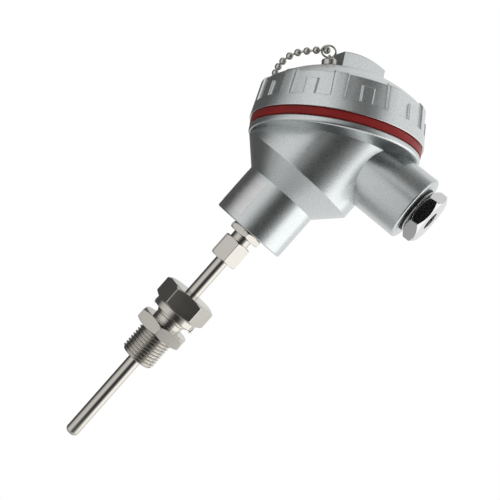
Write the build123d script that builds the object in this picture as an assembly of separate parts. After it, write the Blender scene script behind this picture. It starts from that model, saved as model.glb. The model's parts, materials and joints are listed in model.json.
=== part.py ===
"""Resistance thermometer with a tilted cast connection head and a sliding compression fitting.

Millimetres. The origin is on the probe's axis at the shoulder of the process thread.
+Z runs up the stem to the head, +X points to the cable entry.
"""
from build123d import *
from math import cos, radians, sin, sqrt, tan
import os

# Working clearances
running_gap = 0.08        # radial gap of a piece that slides or turns on another
fixed_gap = 0.05          # radial gap of a threaded or glued piece in its seat

# Probe
sheath_d = 6.0
sheath_wall = 0.5
insertion_length = 57.3   # from the process thread's shoulder to the tip
extension_length = 58.4   # from the process thread's shoulder to the head's neck
sheath_rise = 10.0        # how far the sheath reaches into the neck
tip_wall = 0.8
element_d = 2.8
element_length = 15.0
conductor_d = 0.5
conductor_circle_r = 0.9
conductor_count = 3
potting_length = 4.0

# Hexagons: how far the turned corners reach inside the flats, and where one corner points
corner_cut = 0.2
body_hex_turn = -14.6
nut_hex_turn = 20.0
stem_hex_turn = -6.3
gland_hex_turn = 30.0
gland_corner_slope = 38.0

# Process fitting
process_thread_d = 16.0
process_thread_length = 13.8
process_thread_chamfer = 0.9
body_hex_af = 22.0
body_hex_height = 5.6
relief_d = 13.6
relief_collar_d = 15.2
relief_collar_height = 1.6
relief_height = 4.3
inner_thread_d = 15.0
inner_thread_length = 7.2
cone_seat_angle = 24.0

# Compression nut and its cutting ring
nut_af = 22.0
nut_hex_height = 9.3
nut_skirt_d = 20.8
nut_skirt_height = 3.0
nut_roof = 2.6
ferrule_d = 9.0
ferrule_wall_top = 1.1

# Stem gland that holds the probe in the head
bushing_hex_af = 14.0
bushing_hex_height = 3.2
bushing_thread_d = 10.0
spigot_d = 9.0
spigot_length = 8.6
stem_nut_af = 12.0
stem_nut_height = 10.6
stem_nut_drop = 6.0       # from the neck to the stem nut's upper face
stem_ferrule_d = 7.6
stem_ferrule_height = 2.2

# Head casting
neck_d = 34.0
neck_height = 21.4
body_d = 54.0
cone_angle = 45.0
neck_rounding = 0.8
web_thickness = 5.0
neck_bore_d = 24.0
cavity_d = 44.0
cavity_floor = 33.0       # above the neck's lower face
block_boss_d = 8.0
block_boss_height = 3.0

# The tilted mouth of the head
tilt = 30.0               # degrees, away from the cable entry
mouth_x = 3.0             # where the flange's centre lies
mouth_height = 51.9       # above the neck's lower face
flange_inset = 0.8        # how far the flange stays inside the lid's rim
flange_thickness = 3.0
flange_rounding = 1.1
collar_inset = 5.2        # how far the threaded collar stays inside the lid's rim
collar_wall = 3.0
collar_height = 10.2
collar_chamfer = 0.6

# Cable entry
entry_d = 29.0
entry_reach = 48.0        # from the stem's axis to the entry's end
entry_height = 52.2       # above the neck's lower face
entry_rounding = 0.9
gland_thread_d = 16.0
gland_thread_length = 10.0

# Lid gasket
gasket_thickness = 3.2
gasket_inset = 0.7        # how far the gasket stays inside the lid's rim
gasket_gap = 0.2          # radial, round the collar
gasket_rounding = 0.5

# Lid
lid_d = 75.0
lid_wall_height = 15.2
lid_draft = 6.0
dome_r = 54.5
lid_thickness = 2.8
lid_bore_gap = 0.3
lid_bore_depth = 10.4
lid_band_height = 5.3
tooth_pairs = 10
tooth_relief = 0.9
tall_tooth_angle = 8.6
short_tooth_angle = 7.6
short_tooth_top = 11.9
tooth_flank_angle = 35.0
tooth_phase = -82.7       # direction of one tall tooth's centre about the lid's axis

# Wrench bar on the lid
bar_length = 22.0
bar_width = 7.9
bar_height = 7.1          # above the crown of the dome
bar_turn = 45.0           # from the uphill direction of the lid
bar_shift = 3.7           # uphill from the lid's axis
bar_crown_r = 38.0
bar_rounding = 0.5

# Chain and its screws
chain_screw_d = 4.0
chain_screw_head_d = 6.6
chain_screw_head = 2.4
chain_screw_chamfer = 0.4
chain_screw_grip = 2.4    # shank in the lid or the casting
chain_screw_offset = 3.9  # from the bar's end
chain_boss_d = 8.0
chain_boss_height = 1.2
eye_d = 3.4
eye_wire_d = 0.8
eye_sink = 0.9            # how deep the eye stands in the screw's head
ring_d = 6.8
ring_wire_d = 0.8
lid_ring_lean = 48.0      # from upright, towards the front
body_ring_lean = 50.0     # from straight out, downwards
bead_d = 3.2
bead_pitch = 4.4
bead_pin_d = 0.9
bead_pin_gap = 0.15       # between a ring's wire and the pin that passes it
anchor_turn = 105.0       # direction of the casting's chain screw about the stem
anchor_drop = 14.5        # below the mouth's centre

# Hand-chosen points of the chain between its rings, about the lid's axis: distance as a share of
# the lid's radius, direction in degrees, height as a share of the crown's
chain_points = [
    (0.655, 204.8, 1.075),
    (0.784, 190.8, 0.970),
    (0.882, 176.5, 0.850),
    (1.029, 163.4, 0.523),
    (1.074, 155.0, 0.174),
    (1.073, 145.1, -0.174),
]

# Cable gland
gland_af = 20.6
gland_collar_d = 19.4
gland_collar = 0.9
gland_washer = 0.6
gland_nut_length = 5.8
gland_nut_gap = 0.3
gland_male_d = 14.6
gland_male_length = 4.2
gland_bore_d = 10.0
gland_mouth_d = 8.0
gland_nut_roof = 1.6
seal_d = 11.8
seal_bore_d = 5.0
seal_length = 5.0

# Terminal block
block_d = 41.0
block_thickness = 7.0
block_screw_circle_d = 33.0
block_hole_depth = 7.0
block_screw_d = 4.0
block_screw_head_d = 7.0
block_screw_head = 2.6
block_window_d = 9.0
rib_thickness = 1.4
rib_height = 4.0
clamp_length = 10.0
clamp_width = 6.0
clamp_height = 6.5
clamp_hole_d = 2.6
clamp_row = 11.0          # across the block, from its centre
clamp_pitch = 8.4         # along the block
clamp_sink = 0.8
terminal_screw_d = 2.6
terminal_head_d = 4.2
terminal_head = 1.6
slot_width = 0.7
slot_depth = 0.7

# Leads
lead_d = 1.3
lead_circle_r = 1.35
lead_bend_r = 2.4
lead_turn_r = 1.6
lead_straight = 1.6       # in front of the sleeve
ferrule_sleeve_d = 1.9
ferrule_sleeve_length = 6.0

# Places that follow
neck_z = extension_length
mouth_z = neck_z + mouth_height
entry_z = neck_z + entry_height
floor_z = neck_z + cavity_floor
block_z = floor_z + block_boss_height
block_top = block_z + block_thickness
sheath_top = neck_z + sheath_rise
sheath_r = sheath_d / 2
body_r = body_d / 2
neck_r = neck_d / 2
shoulder_z = neck_z + neck_height + (body_r - neck_r) * tan(radians(cone_angle))
relief_top = body_hex_height + relief_height
nut_top = relief_top + nut_skirt_height + nut_hex_height
inner_thread_top = relief_top + inner_thread_length
flange_r = lid_d / 2 - flange_inset
gasket_r = lid_d / 2 - gasket_inset
collar_r = lid_d / 2 - collar_inset
far = 200.0               # longer than any piece

mouth = Plane(
    origin=(mouth_x, 0, mouth_z),
    x_dir=(cos(radians(tilt)), 0, sin(radians(tilt))),
    z_dir=(-sin(radians(tilt)), 0, cos(radians(tilt))),
)
lid_base = mouth.offset(gasket_thickness)
crown_height = (
    lid_wall_height
    + dome_r
    - sqrt(dome_r**2 - (lid_d / 2 - lid_wall_height * tan(radians(lid_draft))) ** 2)
)
dome_centre = crown_height - dome_r
entry_axis = Plane(origin=(entry_reach, 0, entry_z), x_dir=(0, 1, 0), z_dir=(1, 0, 0))


def rod(radius, low, high):
    """A round bar about the Z axis between two heights."""
    return Pos(0, 0, low) * Cylinder(radius, high - low, align=(Align.CENTER, Align.CENTER, Align.MIN))


def tube(outer, inner, low, high):
    """A round tube about the Z axis."""
    return rod(outer, low, high) - rod(inner, low - 1, high + 1)


def turned(points):
    """A piece turned about the Z axis from its half section, given as radius and height."""
    outline = Polyline(*[(r, 0, z) for r, z in points], close=True)
    return revolve(make_face(outline), Axis.Z)


def hexagon(across_flats, low, high, corner, slope=30.0):
    """A hexagon bar about the Z axis, with the corners turned back at its ends."""
    flat = across_flats / 2
    point = flat / cos(radians(30))
    edge = flat - corner_cut
    cut = (point - edge) * tan(radians(slope))
    outline = RegularPolygon(flat, 6, major_radius=False, rotation=corner)
    blank = extrude(Plane.XY.offset(low) * outline, high - low)
    return blank & turned([
        (0, low),
        (edge, low),
        (point, low + cut),
        (point, high - cut),
        (edge, high),
        (0, high),
    ])


def slotted_head(diameter, height, low):
    """A cheese head with a screwdriver slot across its top."""
    head = rod(diameter / 2, low, low + height)
    head = chamfer(head.edges().group_by(Axis.Z)[-1], 0.25)
    groove = Pos(0, 0, low + height - slot_depth / 2) * Box(diameter + 1, slot_width, slot_depth)
    return head - groove


def above(plane, height=0.0):
    """Everything above a plane, as a block to cut with."""
    return plane.offset(height).location * Box(far, far, far, align=(Align.CENTER, Align.CENTER, Align.MIN))


# Probe

def probe_sheath():
    inner = sheath_r - sheath_wall
    tip = -insertion_length
    shell = rod(sheath_r, tip, sheath_top)
    shell = fillet(shell.edges().group_by(Axis.Z)[0], sheath_r * 0.6)
    return shell - rod(inner, tip + tip_wall, sheath_top + 1)


element_low = -insertion_length + tip_wall + 1.0
element_top = element_low + element_length
filling_top = sheath_top - potting_length


def conductor_places():
    return PolarLocations(conductor_circle_r, conductor_count)


def sensing_element():
    return chamfer(rod(element_d / 2, element_low, element_top).edges(), 0.2)


def sheath_filling():
    core = rod(sheath_r - sheath_wall - 0.02, -insertion_length + tip_wall, filling_top)
    core -= rod(element_d / 2 + 0.02, element_low, element_top)
    hole = rod(conductor_d / 2 + 0.02, element_top - 0.5, filling_top + 1)
    return core - [place * hole for place in conductor_places()]


def inner_conductors():
    wire = rod(conductor_d / 2, element_top, filling_top)
    return Part(children=[place * wire for place in conductor_places()])


def lead_seal():
    return rod(sheath_r - sheath_wall - 0.02, filling_top, sheath_top)


# Process fitting

def compression_body():
    """Hexagon, process thread below it and the nut's thread above, bored right through."""
    thread_r = process_thread_d / 2
    neck = turned([
        (0, 0),
        (relief_d / 2, body_hex_height - 0.5),
        (relief_d / 2, relief_top - relief_collar_height),
        (relief_collar_d / 2 - 0.4, relief_top - relief_collar_height),
        (inner_thread_d / 2, relief_top),
        (inner_thread_d / 2, inner_thread_top - 0.6),
        (inner_thread_d / 2 - 0.6, inner_thread_top),
        (0, inner_thread_top),
    ])
    process_end = turned([
        (0, 0.5),
        (thread_r, 0.5),
        (thread_r, process_thread_chamfer - process_thread_length),
        (thread_r - process_thread_chamfer, -process_thread_length),
        (0, -process_thread_length),
    ])
    solid = hexagon(body_hex_af, 0, body_hex_height, corner=body_hex_turn) + neck + process_end
    bore = rod(sheath_r + running_gap, -process_thread_length - 1, inner_thread_top + 1)
    seat_r = ferrule_d / 2 - 0.6
    seat_depth = (seat_r - sheath_r - running_gap) / tan(radians(cone_seat_angle))
    seat = turned([
        (0, inner_thread_top + 1),
        (seat_r, inner_thread_top + 1),
        (seat_r, inner_thread_top),
        (sheath_r + running_gap, inner_thread_top - seat_depth),
        (0, inner_thread_top - seat_depth),
    ])
    return solid - bore - seat


def ferrule_profile(outer, low_point, seat_angle, top, gap):
    """A cutting ring's half section: a long lower cone, a short upper cone."""
    inner = sheath_r + gap
    rise = (outer - inner - 0.25) / tan(radians(seat_angle))
    return [
        (inner, low_point),
        (inner + 0.25, low_point),
        (outer, low_point + rise),
        (outer, top - 0.8),
        (inner + ferrule_wall_top, top),
        (inner, top),
    ]


nut_ceiling = nut_top - nut_roof


def compression_ferrule():
    seat_r = ferrule_d / 2 - 0.6
    low = inner_thread_top - (seat_r - sheath_r - running_gap - 0.3) / tan(radians(cone_seat_angle))
    return turned(ferrule_profile(ferrule_d / 2 - 0.7, low, cone_seat_angle, nut_ceiling - 0.02, running_gap))


def compression_nut():
    """Hexagon over a round skirt, hollow for the body's thread and the cutting ring."""
    skirt_low = relief_top
    hex_low = skirt_low + nut_skirt_height
    solid = hexagon(nut_af, hex_low, nut_top, corner=nut_hex_turn)
    solid += rod(nut_skirt_d / 2, skirt_low, hex_low + 1.5)
    rim = solid.edges().filter_by(GeomType.CIRCLE).group_by(Axis.Z)[0]
    solid = fillet(rim, 0.4)
    solid -= rod(inner_thread_d / 2 + running_gap, skirt_low - 1, inner_thread_top + 0.4)
    solid -= rod(ferrule_d / 2, inner_thread_top, nut_ceiling)
    return solid - rod(sheath_r + running_gap, nut_ceiling - 1, nut_top + 1)


# Stem gland

bushing_low = neck_z - bushing_hex_height
stem_nut_top = neck_z - stem_nut_drop
stem_nut_low = stem_nut_top - stem_nut_height
spigot_low = bushing_low - spigot_length


def stem_bushing():
    solid = hexagon(bushing_hex_af, bushing_low, neck_z, corner=stem_hex_turn)
    solid += rod(bushing_thread_d / 2 - fixed_gap, neck_z - 0.5, neck_z + web_thickness)
    solid += rod(spigot_d / 2, spigot_low, bushing_low + 0.5)
    solid -= rod(sheath_r + fixed_gap, spigot_low - 1, neck_z + web_thickness + 1)
    widening = stem_ferrule_d / 2 - sheath_r - fixed_gap
    mouth_cone = turned([
        (0, spigot_low - 1),
        (stem_ferrule_d / 2, spigot_low - 1),
        (stem_ferrule_d / 2, spigot_low),
        (sheath_r + fixed_gap, spigot_low + widening),
        (0, spigot_low + widening),
    ])
    return solid - mouth_cone


stem_nut_floor = spigot_low - stem_ferrule_height + 0.6


def stem_ferrule():
    inner = sheath_r + fixed_gap
    return turned([
        (inner, stem_nut_floor),
        (stem_ferrule_d / 2 - 0.1, stem_nut_floor),
        (stem_ferrule_d / 2 - 0.1, spigot_low - 0.1),
        (inner + 0.2, spigot_low + 0.35),
        (inner, spigot_low + 0.35),
    ])


def stem_nut():
    solid = hexagon(stem_nut_af, stem_nut_low, stem_nut_top, corner=stem_hex_turn)
    solid -= rod(spigot_d / 2 + running_gap, stem_nut_floor, stem_nut_top + 1)
    return solid - rod(sheath_r + running_gap, stem_nut_low - 1, stem_nut_top)


# Head casting

def head_body():
    """Neck, cone, drum, side entry, tilted flange and threaded collar: one hollow casting."""
    solid = turned([
        (0, neck_z),
        (neck_r, neck_z),
        (neck_r, neck_z + neck_height),
        (body_r, shoulder_z),
        (body_r, neck_z + far / 2),
        (0, neck_z + far / 2),
    ])
    solid = fillet(solid.edges().group_by(Axis.Z)[0], neck_rounding)
    entry = entry_axis.location * rod(entry_d / 2, -entry_reach, 0)
    entry = fillet(entry.edges().group_by(Axis.X)[-1], entry_rounding)
    solid = solid + entry - above(mouth)
    flange = rod(flange_r, -flange_thickness, 0)
    flange = fillet(flange.edges(), flange_rounding)
    collar = rod(collar_r, -flange_thickness / 2, collar_height)
    collar = chamfer(collar.edges().group_by(Axis.Z)[-1], collar_chamfer)
    solid += mouth.location * flange
    solid += mouth.location * collar
    solid += chain_boss()
    return head_hollows(solid)


def head_hollows(solid):
    """Cavity, wire passage, tapped holes and the bosses under the terminal block."""
    cavity = rod(cavity_d / 2, floor_z, neck_z + far / 2) - above(mouth)
    bosses = [place * rod(block_boss_d / 2, floor_z - 1, block_z) for place in block_screw_places()]
    cavity = cavity - bosses
    solid -= cavity
    solid -= mouth.location * rod(collar_r - collar_wall, 0, collar_height + 1)
    solid -= rod(neck_bore_d / 2, neck_z + web_thickness, floor_z + 0.5)
    solid -= rod(bushing_thread_d / 2, neck_z - 1, neck_z + web_thickness + 1)
    hole = rod(block_screw_d / 2, block_z - block_hole_depth, block_z + 1)
    solid -= [place * hole for place in block_screw_places()]
    solid -= entry_axis.location * rod(gland_thread_d / 2, -entry_reach, 1)
    return solid - anchor.location * rod(chain_screw_d / 2, -chain_screw_grip, 1)


def block_screw_places():
    return GridLocations(0, block_screw_circle_d, 1, 2)


# The casting's chain screw stands out of the drum's back, under the flange
anchor_reach = body_r + chain_boss_height
anchor = Plane(
    origin=(
        anchor_reach * cos(radians(anchor_turn)),
        anchor_reach * sin(radians(anchor_turn)),
        mouth_z - anchor_drop,
    ),
    x_dir=(-sin(radians(anchor_turn)), cos(radians(anchor_turn)), 0),
    z_dir=(cos(radians(anchor_turn)), sin(radians(anchor_turn)), 0),
)


def chain_boss():
    return anchor.location * rod(chain_boss_d / 2, -2 * chain_boss_height, 0)


# Gasket and lid

def lid_gasket():
    disc = rod(gasket_r, 0, gasket_thickness)
    disc = fillet(disc.edges(), gasket_rounding)
    return mouth.location * (disc - rod(collar_r + gasket_gap, -1, gasket_thickness + 1))


def wall_radius(height):
    """Outer radius of the lid's drafted wall at a height above its rim."""
    return lid_d / 2 - height * tan(radians(lid_draft))


def lid_outside(inset):
    """The lid's outer form, with its wall and dome moved in by an inset."""
    top_r = wall_radius(lid_wall_height) - inset
    shoulder = lid_wall_height
    arc_mid = top_r / 2
    wall = [
        Line((0, 0, 0), (wall_radius(0) - inset, 0, 0)),
        Line((wall_radius(0) - inset, 0, 0), (top_r, 0, shoulder)),
        ThreePointArc(
            (top_r, 0, shoulder),
            (arc_mid, 0, crown_point(arc_mid, top_r)),
            (0, 0, crown_point(0, top_r)),
        ),
        Line((0, 0, crown_point(0, top_r)), (0, 0, 0)),
    ]
    return revolve(make_face(wall), Axis.Z)


def crown_point(radius, edge_radius):
    """Height of the dome at a radius, for a dome that starts at the wall's upper edge."""
    edge_drop = sqrt(dome_r**2 - edge_radius**2)
    return lid_wall_height - edge_drop + sqrt(dome_r**2 - radius**2)


def tooth(angle, low, high):
    """One drafted pad: a wedge whose flanks lean, as long as its own height."""
    outer = lid_d / 2 + 1
    inner = wall_radius(lid_wall_height) - tooth_relief - 1
    half = radians(angle / 2)
    lean = tan(radians(tooth_flank_angle)) * tooth_relief
    wide = inner * tan(half) + lean
    narrow = outer * tan(half) - lean
    outline = Polyline((inner, -wide), (outer, -narrow), (outer, narrow), (inner, wide), close=True)
    return extrude(Plane.XY.offset(low) * make_face(outline), high - low)


def lid_teeth(full):
    """Tall and short teeth in turn, cut from the lid's full outer form."""
    pitch = 360 / tooth_pairs
    tall = tooth(tall_tooth_angle, lid_band_height - 1, crown_height)
    short = tooth(short_tooth_angle, lid_band_height - 1, short_tooth_top)
    pads = []
    for index in range(tooth_pairs):
        pads.append(Rot(0, 0, tooth_phase + index * pitch) * tall & full)
        pads.append(Rot(0, 0, tooth_phase + (index + 0.5) * pitch) * short & full)
    return pads


def wrench_bar():
    """A flat-sided bar with an arched back, for a spanner."""
    low = lid_wall_height
    high = crown_height + bar_height
    blank = Pos(0, 0, low) * Box(
        bar_length, bar_width, high - low, align=(Align.CENTER, Align.CENTER, Align.MIN)
    )
    back = Pos(0, 0, high - bar_crown_r) * Rot(90, 0, 0) * Cylinder(bar_crown_r, bar_width + 2)
    shaped = blank & back
    shaped = fillet(shaped.edges().group_by(Axis.Z)[-1], bar_rounding)
    return Pos(bar_shift, 0, 0) * Rot(0, 0, bar_turn) * shaped


screw_along = -(bar_length / 2 + chain_screw_offset)
screw_x = bar_shift + screw_along * cos(radians(bar_turn))
screw_y = screw_along * sin(radians(bar_turn))
screw_rise = sqrt(dome_r**2 - screw_x**2 - screw_y**2)
lid_screw_seat = Plane(
    origin=(screw_x, screw_y, dome_centre + screw_rise),
    x_dir=(1, 0, 0),
    z_dir=(screw_x, screw_y, screw_rise),
)


def lid():
    """Screw lid: drafted wall with castellations, domed top, wrench bar, hollow inside."""
    full = lid_outside(0)
    band = rod(lid_d, -1, lid_band_height)
    solid = lid_outside(tooth_relief) + (full & band)
    for pad in lid_teeth(full):
        solid += pad
    solid += wrench_bar()
    bore_r = collar_r + lid_bore_gap
    inside = wall_radius(lid_wall_height) - tooth_relief - lid_thickness
    hollow = rod(inside, 0, lid_wall_height - 1)
    dome = Pos(0, 0, dome_centre) * Sphere(dome_r - lid_thickness)
    dome &= rod(inside, lid_wall_height - 2, crown_height)
    solid -= rod(bore_r, -1, lid_bore_depth)
    solid -= hollow
    solid -= dome
    solid -= lid_screw_seat.location * rod(chain_screw_d / 2, -chain_screw_grip, 1)
    return lid_base.location * solid


# Chain, its rings and screws

lid_seat = lid_base.location * lid_screw_seat.location
anchor_seat = anchor.location
ring_mid_r = (ring_d - ring_wire_d) / 2
eye_mid_r = (eye_d - eye_wire_d) / 2
wires_apart = (eye_wire_d + ring_wire_d) / 2 + fixed_gap


def eye_centre(seat):
    """The middle of a screw's eye, with X along the eye's hole."""
    return seat * Pos(0, 0, chain_screw_head + eye_mid_r - eye_sink)


def eye_screw(seat):
    """A screw with a round head and a wire eye let into its top."""
    screw = rod(chain_screw_d / 2 - fixed_gap, 0.2 - chain_screw_grip, chain_screw_head / 2)
    cap = rod(chain_screw_head_d / 2, 0, chain_screw_head)
    screw += chamfer(cap.edges().group_by(Axis.Z)[-1], chain_screw_chamfer)
    eye = Rot(0, 90, 0) * Torus(eye_mid_r, eye_wire_d / 2)
    return seat * screw + eye_centre(seat) * eye


def ring_centre(seat, lean):
    """The middle of a ring pulled tight in an eye, with X along the hole and Z away from the eye."""
    return eye_centre(seat) * Rot(lean, 0, 0) * Pos(0, 0, eye_mid_r - wires_apart + ring_mid_r)


def chain_ring(seat, lean):
    return ring_centre(seat, lean) * Rot(90, 0, 0) * Torus(ring_mid_r, ring_wire_d / 2)


def chain_place(share, direction, rise):
    """One point of the chain, from its shares of the lid's radius and of the crown's height."""
    reach = share * lid_d / 2
    along = reach * cos(radians(direction))
    across = reach * sin(radians(direction))
    return lid_base.location * Pos(along, across, rise * crown_height)


def chain_route():
    """The chain's line, from the lid's ring over the dome and down behind the head.

    At each end one ball lies in the ring, and the pin to the next passes beside the ring's wire.
    """
    inward = ring_mid_r - (ring_wire_d + bead_d) / 2 - fixed_gap
    aside = (ring_wire_d + bead_pin_d) / 2 + bead_pin_gap
    lid_ring = ring_centre(lid_seat, lid_ring_lean)
    body_ring = ring_centre(anchor_seat, body_ring_lean)
    places = [lid_ring * Pos(-inward - step, aside, 0) for step in (0, bead_pitch)]
    places += [chain_place(*point) for point in chain_points]
    places += [body_ring * Pos(inward + step, aside, 0) for step in (bead_pitch, 0)]
    return Spline(*[place.position for place in places])


def bead_chain():
    """Balls strung on short pins, at one pitch along the route."""
    route = chain_route()
    count = round(route.length / bead_pitch)
    spots = [route @ (index / count) for index in range(count + 1)]
    balls = []
    pins = []
    for index, spot in enumerate(spots):
        along = spots[min(index + 1, count)] - spots[max(index - 1, 0)]
        pole = along.cross(Vector(0.3, 0.2, 1))
        seat = Plane(origin=spot, x_dir=along.cross(pole), z_dir=pole)
        balls.append(seat.location * Sphere(bead_d / 2))
    for near, spot in zip(spots, spots[1:]):
        pin = rod(bead_pin_d / 2, 0, (spot - near).length)
        pins.append(Plane(origin=near, z_dir=spot - near).location * pin)
    return balls[0].fuse(*balls[1:], *pins)


# Cable gland

def gland_body():
    solid = rod(gland_thread_d / 2 - fixed_gap, -gland_thread_length, gland_washer + 0.2)
    solid += rod(gland_collar_d / 2, gland_washer, gland_washer + gland_collar)
    solid += rod(gland_male_d / 2, gland_washer, gland_washer + gland_collar + gland_male_length)
    solid -= rod(gland_bore_d / 2, -gland_thread_length - 1, gland_washer + far / 4)
    seal_low = gland_washer + gland_collar + gland_male_length - seal_length
    solid -= rod(seal_d / 2, seal_low, gland_washer + far / 4)
    return entry_axis.location * solid


def gland_washer_ring():
    return entry_axis.location * tube(gland_collar_d / 2 + 0.4, gland_thread_d / 2 + 0.2, 0, gland_washer)


def gland_nut():
    low = gland_washer + gland_collar + gland_nut_gap
    high = low + gland_nut_length
    solid = hexagon(gland_af, low, high, corner=gland_hex_turn, slope=gland_corner_slope)
    solid -= rod(gland_male_d / 2 + running_gap, low - 1, high - gland_nut_roof)
    solid -= rod(gland_mouth_d / 2, low, high + 1)
    return entry_axis.location * solid


def gland_seal():
    low = gland_washer + gland_collar + gland_male_length - seal_length
    high = gland_washer + gland_collar + gland_nut_gap + gland_nut_length - gland_nut_roof
    bush = tube(seal_d / 2 - fixed_gap, seal_bore_d / 2, low, high - fixed_gap)
    return entry_axis.location * bush


# Terminal block and wiring

def clamp_places():
    return GridLocations(2 * clamp_row, clamp_pitch, 2, 2)


def terminal_block():
    base = rod(block_d / 2, block_z, block_top)
    base = fillet(base.edges().group_by(Axis.Z)[-1], 0.6)
    for side in (-1, 1):
        for edge in (-1, 0, 1):
            rib = Pos(side * clamp_row, edge * clamp_pitch, block_top + rib_height / 2 - 0.1) * Box(
                clamp_length + 1, rib_thickness, rib_height + 0.2
            )
            base += rib
    base -= rod(block_window_d / 2, block_z - 1, block_top + 1)
    hole = rod(block_screw_d / 2 + 0.25, block_z - 1, block_top + 1)
    base -= [place * hole for place in block_screw_places()]
    pocket = Pos(0, 0, block_top - clamp_sink) * Box(
        clamp_length + 0.1, clamp_width + 0.1, clamp_height, align=(Align.CENTER, Align.CENTER, Align.MIN)
    )
    return base - [place * pocket for place in clamp_places()]


clamp_low = block_top - clamp_sink
clamp_top = clamp_low + clamp_height
clamp_hole_z = clamp_low + clamp_height * 0.46
screw_step = clamp_length / 4


def terminal_clamps():
    block = Pos(0, 0, clamp_low) * Box(
        clamp_length, clamp_width, clamp_height, align=(Align.CENTER, Align.CENTER, Align.MIN)
    )
    block = chamfer(block.edges().group_by(Axis.Z)[-1], 0.4)
    block -= Pos(0, 0, clamp_hole_z) * Rot(0, 90, 0) * Cylinder(clamp_hole_d / 2, clamp_length + 2)
    for step in (-screw_step, screw_step):
        block -= Pos(step, 0, 0) * rod(terminal_screw_d / 2, clamp_hole_z, clamp_top + 1)
    return Part(children=[place * block for place in clamp_places()])


def terminal_screws():
    screw = rod(terminal_screw_d / 2 - fixed_gap, clamp_hole_z + ferrule_sleeve_d / 2 + 0.05, clamp_top + 0.4)
    screw += slotted_head(terminal_head_d, terminal_head, clamp_top + 0.1)
    steps = (-screw_step, screw_step)
    return Part(children=[place * Pos(step, 0, 0) * screw for place in clamp_places() for step in steps])


def block_screws():
    screw = rod(block_screw_d / 2 - fixed_gap, block_z - block_hole_depth + 1, block_top + 0.2)
    screw += slotted_head(block_screw_head_d, block_screw_head, block_top)
    return Part(children=[place * screw for place in block_screw_places()])


# Which conductor goes to which clamp: side of the block and place along it
lead_ends = [(1, -1), (1, 1), (-1, -1)]


def lead_start(index):
    angle = radians(360 / conductor_count * index - 60)
    return lead_circle_r * cos(angle), lead_circle_r * sin(angle)


def sleeve_end(side):
    """Where a lead meets its sleeve, in front of the clamp's inner face."""
    return side * (clamp_row - clamp_length / 2 - 0.6)


def lead_wire(index):
    """One insulated lead: up out of the sheath, over the block's window, into its sleeve."""
    side, row = lead_ends[index]
    start_x, start_y = lead_start(index)
    end_y = row * clamp_pitch / 2
    route = FilletPolyline(
        (start_x, start_y, sheath_top),
        (start_x, start_y, clamp_hole_z),
        (sleeve_end(side) - side * lead_straight, end_y, clamp_hole_z),
        (sleeve_end(side), end_y, clamp_hole_z),
        radius=[lead_bend_r, lead_turn_r],
    )
    section = Plane(origin=route @ 0, z_dir=route % 0) * Circle(lead_d / 2)
    return sweep(section, path=route)


def lead_wires_red():
    return Part(children=[lead_wire(0), lead_wire(1)])


def lead_wire_white():
    return lead_wire(2)


def wire_sleeves():
    sleeves = []
    for side, row in lead_ends:
        low = sleeve_end(side)
        centre = low + side * ferrule_sleeve_length / 2
        sleeve = Rot(0, 90, 0) * Cylinder(ferrule_sleeve_d / 2, ferrule_sleeve_length)
        sleeves.append(Pos(centre, row * clamp_pitch / 2, clamp_hole_z) * sleeve)
    return Part(children=sleeves)


PIECES = {
    "head_body": head_body,
    "lid": lid,
    "lid_gasket": lid_gasket,
    "lid_chain_screw": lambda: eye_screw(lid_seat),
    "body_chain_screw": lambda: eye_screw(anchor_seat),
    "lid_chain_ring": lambda: chain_ring(lid_seat, lid_ring_lean),
    "body_chain_ring": lambda: chain_ring(anchor_seat, body_ring_lean),
    "bead_chain": bead_chain,
    "gland_body": gland_body,
    "gland_washer": gland_washer_ring,
    "gland_nut": gland_nut,
    "gland_seal": gland_seal,
    "terminal_block": terminal_block,
    "terminal_clamps": terminal_clamps,
    "terminal_screws": terminal_screws,
    "block_screws": block_screws,
    "lead_wires_red": lead_wires_red,
    "lead_wire_white": lead_wire_white,
    "wire_sleeves": wire_sleeves,
    "lead_seal": lead_seal,
    "probe_sheath": probe_sheath,
    "sheath_filling": sheath_filling,
    "sensing_element": sensing_element,
    "inner_conductors": inner_conductors,
    "stem_bushing": stem_bushing,
    "stem_ferrule": stem_ferrule,
    "stem_nut": stem_nut,
    "compression_body": compression_body,
    "compression_ferrule": compression_ferrule,
    "compression_nut": compression_nut,
}


def main():
    os.makedirs("parts", exist_ok=True)
    for name, make in PIECES.items():
        export_step(make(), f"parts/{name}.step")


main()
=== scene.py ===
"""Dresses a resistance thermometer: cast head, polished stem, cable gland and ball chain."""
import json
import math

import bmesh
import bpy
from mathutils import Matrix, Vector


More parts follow.
